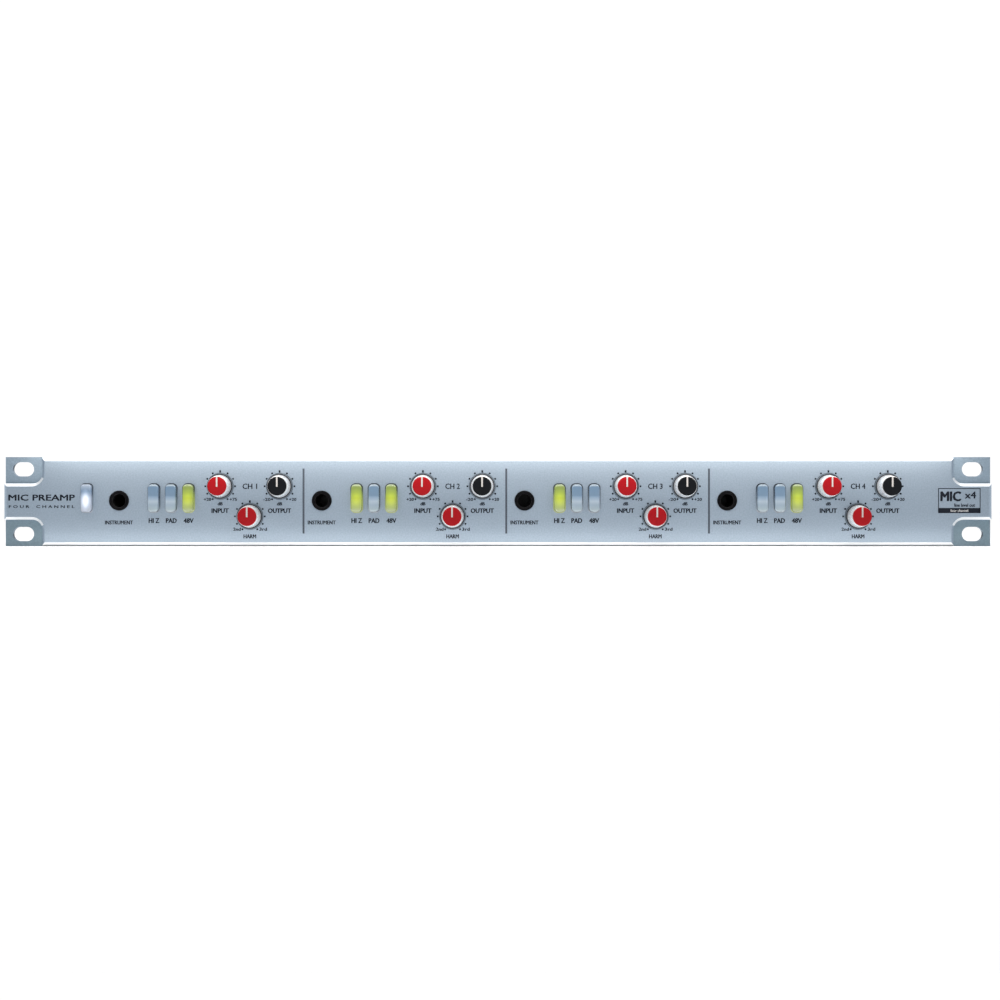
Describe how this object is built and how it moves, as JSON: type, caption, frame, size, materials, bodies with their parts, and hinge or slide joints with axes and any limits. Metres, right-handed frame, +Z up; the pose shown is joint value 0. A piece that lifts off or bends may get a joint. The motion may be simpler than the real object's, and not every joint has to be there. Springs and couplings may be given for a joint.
{
  "type": "microphone preamp",
  "caption": "One-unit rack microphone preamp with a thick satin panel, tapered knobs with coloured caps, lit capsule buttons, front jacks and rear three-pin sockets.",
  "frame": {"origin": "on the rear face of the rack ears, at the centre of their four slots", "axes": "+X to the right seen from the front, +Y from the front to the rear, +Z up"},
  "size_m": [0.4826, 0.1953, 0.0436],
  "materials": {
    "front_panel": "satin, brushed silver-blue anodised",
    "case": "fine matt black powder coat",
    "screws": "zinc plated",
    "jacks": "matt",
    "circuit_boards": "solder mask, satin",
    "potentiometers": "satin",
    "switches": "matt",
    "components": "matt",
    "capacitors": "glossy sleeve",
    "standoffs": "plain",
    "ribbons": "matt",
    "transformer": "clear wrap over copper wire",
    "inlet_plastic": "fine texture",
    "connector_shells": "satin nickel",
    "connector_inserts": "matt",
    "contacts": "gold plated",
    "power_button": "translucent, lit white",
    "knobs": "satin",
    "black_caps": "satin",
    "red_caps": "satin",
    "lit_buttons": "translucent, lit yellow-green",
    "buttons": "translucent, smoky blue",
    "latches": "satin nickel"
  },
  "bodies": {
    "unit": {"front_panel": "front_panel", "chassis_tray": "case", "front_wall": "case", "rear_panel": "case", "top_cover": "case", "m3_screws": "screws", "jack_sockets": "jacks", "control_board": "circuit_boards", "potentiometers": "potentiometers", "button_switches": "switches", "main_board": "circuit_boards", "board_components": "components", "capacitors": "capacitors", "board_standoffs": "standoffs", "ribbon_cables": "ribbons", "mains_transformer": "transformer", "mains_inlet": "inlet_plastic", "xlr_shells": "connector_shells", "xlr_inserts": "connector_inserts", "xlr_contacts": "contacts"},
    "input_control_1": {"input_knob_1": "knobs", "input_cap_1": "red_caps"},
    "harmonic_control_1": {"harmonic_knob_1": "knobs", "harmonic_cap_1": "red_caps"},
    "output_control_1": {"output_knob_1": "knobs", "output_cap_1": "black_caps"},
    "input_control_2": {"input_knob_2": "knobs", "input_cap_2": "red_caps"},
    "harmonic_control_2": {"harmonic_knob_2": "knobs", "harmonic_cap_2": "red_caps"},
    "output_control_2": {"output_knob_2": "knobs", "output_cap_2": "black_caps"},
    "input_control_3": {"input_knob_3": "knobs", "input_cap_3": "red_caps"},
    "harmonic_control_3": {"harmonic_knob_3": "knobs", "harmonic_cap_3": "red_caps"},
    "output_control_3": {"output_knob_3": "knobs", "output_cap_3": "black_caps"},
    "input_control_4": {"input_knob_4": "knobs", "input_cap_4": "red_caps"},
    "harmonic_control_4": {"harmonic_knob_4": "knobs", "harmonic_cap_4": "red_caps"},
    "output_control_4": {"output_knob_4": "knobs", "output_cap_4": "black_caps"},
    "hi_z_press_1": {"hi_z_button_1": "buttons"},
    "pad_press_1": {"pad_button_1": "buttons"},
    "phantom_press_1": {"phantom_button_1": "lit_buttons"},
    "hi_z_press_2": {"hi_z_button_2": "lit_buttons"},
    "pad_press_2": {"pad_button_2": "buttons"},
    "phantom_press_2": {"phantom_button_2": "lit_buttons"},
    "hi_z_press_3": {"hi_z_button_3": "lit_buttons"},
    "pad_press_3": {"pad_button_3": "buttons"},
    "phantom_press_3": {"phantom_button_3": "buttons"},
    "hi_z_press_4": {"hi_z_button_4": "buttons"},
    "pad_press_4": {"pad_button_4": "buttons"},
    "phantom_press_4": {"phantom_button_4": "lit_buttons"},
    "power_press": {"power_button": "power_button"},
    "latch_1": {"xlr_latch_1": "latches"},
    "latch_2": {"xlr_latch_2": "latches"},
    "latch_3": {"xlr_latch_3": "latches"},
    "latch_4": {"xlr_latch_4": "latches"},
    "fuse_carrier": {"fuse_drawer": "inlet_plastic"}
  },
  "joints": [
    {"name": "input_turn_1", "type": "hinge", "parent": "unit", "child": "input_control_1", "pos_m": [-0.13565, -0.0078, 0.0075], "axis": [0, 1, 0], "range_deg": [-150, 150]},
    {"name": "harmonic_turn_1", "type": "hinge", "parent": "unit", "child": "harmonic_control_1", "pos_m": [-0.12115, -0.0078, -0.0072], "axis": [0, 1, 0], "range_deg": [-150, 150]},
    {"name": "output_turn_1", "type": "hinge", "parent": "unit", "child": "output_control_1", "pos_m": [-0.10665, -0.0078, 0.0075], "axis": [0, 1, 0], "range_deg": [-150, 150]},
    {"name": "input_turn_2", "type": "hinge", "parent": "unit", "child": "input_control_2", "pos_m": [-0.03665, -0.0078, 0.0075], "axis": [0, 1, 0], "range_deg": [-150, 150]},
    {"name": "harmonic_turn_2", "type": "hinge", "parent": "unit", "child": "harmonic_control_2", "pos_m": [-0.02215, -0.0078, -0.0072], "axis": [0, 1, 0], "range_deg": [-150, 150]},
    {"name": "output_turn_2", "type": "hinge", "parent": "unit", "child": "output_control_2", "pos_m": [-0.00765, -0.0078, 0.0075], "axis": [0, 1, 0], "range_deg": [-150, 150]},
    {"name": "input_turn_3", "type": "hinge", "parent": "unit", "child": "input_control_3", "pos_m": [0.06235, -0.0078, 0.0075], "axis": [0, 1, 0], "range_deg": [-150, 150]},
    {"name": "harmonic_turn_3", "type": "hinge", "parent": "unit", "child": "harmonic_control_3", "pos_m": [0.07685, -0.0078, -0.0072], "axis": [0, 1, 0], "range_deg": [-150, 150]},
    {"name": "output_turn_3", "type": "hinge", "parent": "unit", "child": "output_control_3", "pos_m": [0.09135, -0.0078, 0.0075], "axis": [0, 1, 0], "range_deg": [-150, 150]},
    {"name": "input_turn_4", "type": "hinge", "parent": "unit", "child": "input_control_4", "pos_m": [0.16135, -0.0078, 0.0075], "axis": [0, 1, 0], "range_deg": [-150, 150]},
    {"name": "harmonic_turn_4", "type": "hinge", "parent": "unit", "child": "harmonic_control_4", "pos_m": [0.17585, -0.0078, -0.0072], "axis": [0, 1, 0], "range_deg": [-150, 150]},
    {"name": "output_turn_4", "type": "hinge", "parent": "unit", "child": "output_control_4", "pos_m": [0.19035, -0.0078, 0.0075], "axis": [0, 1, 0], "range_deg": [-150, 150]},
    {"name": "hi_z_push_1", "type": "slide", "parent": "unit", "child": "hi_z_press_1", "axis": [0, 1, 0], "range_m": [0, 0.002], "stiffness_N_per_m": 800},
    {"name": "pad_push_1", "type": "slide", "parent": "unit", "child": "pad_press_1", "axis": [0, 1, 0], "range_m": [0, 0.002], "stiffness_N_per_m": 800},
    {"name": "phantom_push_1", "type": "slide", "parent": "unit", "child": "phantom_press_1", "axis": [0, 1, 0], "range_m": [0, 0.002], "stiffness_N_per_m": 800},
    {"name": "hi_z_push_2", "type": "slide", "parent": "unit", "child": "hi_z_press_2", "axis": [0, 1, 0], "range_m": [0, 0.002], "stiffness_N_per_m": 800},
    {"name": "pad_push_2", "type": "slide", "parent": "unit", "child": "pad_press_2", "axis": [0, 1, 0], "range_m": [0, 0.002], "stiffness_N_per_m": 800},
    {"name": "phantom_push_2", "type": "slide", "parent": "unit", "child": "phantom_press_2", "axis": [0, 1, 0], "range_m": [0, 0.002], "stiffness_N_per_m": 800},
    {"name": "hi_z_push_3", "type": "slide", "parent": "unit", "child": "hi_z_press_3", "axis": [0, 1, 0], "range_m": [0, 0.002], "stiffness_N_per_m": 800},
    {"name": "pad_push_3", "type": "slide", "parent": "unit", "child": "pad_press_3", "axis": [0, 1, 0], "range_m": [0, 0.002], "stiffness_N_per_m": 800},
    {"name": "phantom_push_3", "type": "slide", "parent": "unit", "child": "phantom_press_3", "axis": [0, 1, 0], "range_m": [0, 0.002], "stiffness_N_per_m": 800},
    {"name": "hi_z_push_4", "type": "slide", "parent": "unit", "child": "hi_z_press_4", "axis": [0, 1, 0], "range_m": [0, 0.002], "stiffness_N_per_m": 800},
    {"name": "pad_push_4", "type": "slide", "parent": "unit", "child": "pad_press_4", "axis": [0, 1, 0], "range_m": [0, 0.002], "stiffness_N_per_m": 800},
    {"name": "phantom_push_4", "type": "slide", "parent": "unit", "child": "phantom_press_4", "axis": [0, 1, 0], "range_m": [0, 0.002], "stiffness_N_per_m": 800},
    {"name": "power_push", "type": "slide", "parent": "unit", "child": "power_press", "axis": [0, 1, 0], "range_m": [0, 0.002], "stiffness_N_per_m": 800},
    {"name": "latch_push_1", "type": "slide", "parent": "unit", "child": "latch_1", "axis": [0, -1, 0], "range_m": [0, 0.0015], "stiffness_N_per_m": 1000},
    {"name": "latch_push_2", "type": "slide", "parent": "unit", "child": "latch_2", "axis": [0, -1, 0], "range_m": [0, 0.0015], "stiffness_N_per_m": 1000},
    {"name": "latch_push_3", "type": "slide", "parent": "unit", "child": "latch_3", "axis": [0, -1, 0], "range_m": [0, 0.0015], "stiffness_N_per_m": 1000},
    {"name": "latch_push_4", "type": "slide", "parent": "unit", "child": "latch_4", "axis": [0, -1, 0], "range_m": [0, 0.0015], "stiffness_N_per_m": 1000},
    {"name": "fuse_slide", "type": "slide", "parent": "unit", "child": "fuse_carrier", "axis": [0, 1, 0], "range_m": [0, 0.02]}
  ]
}
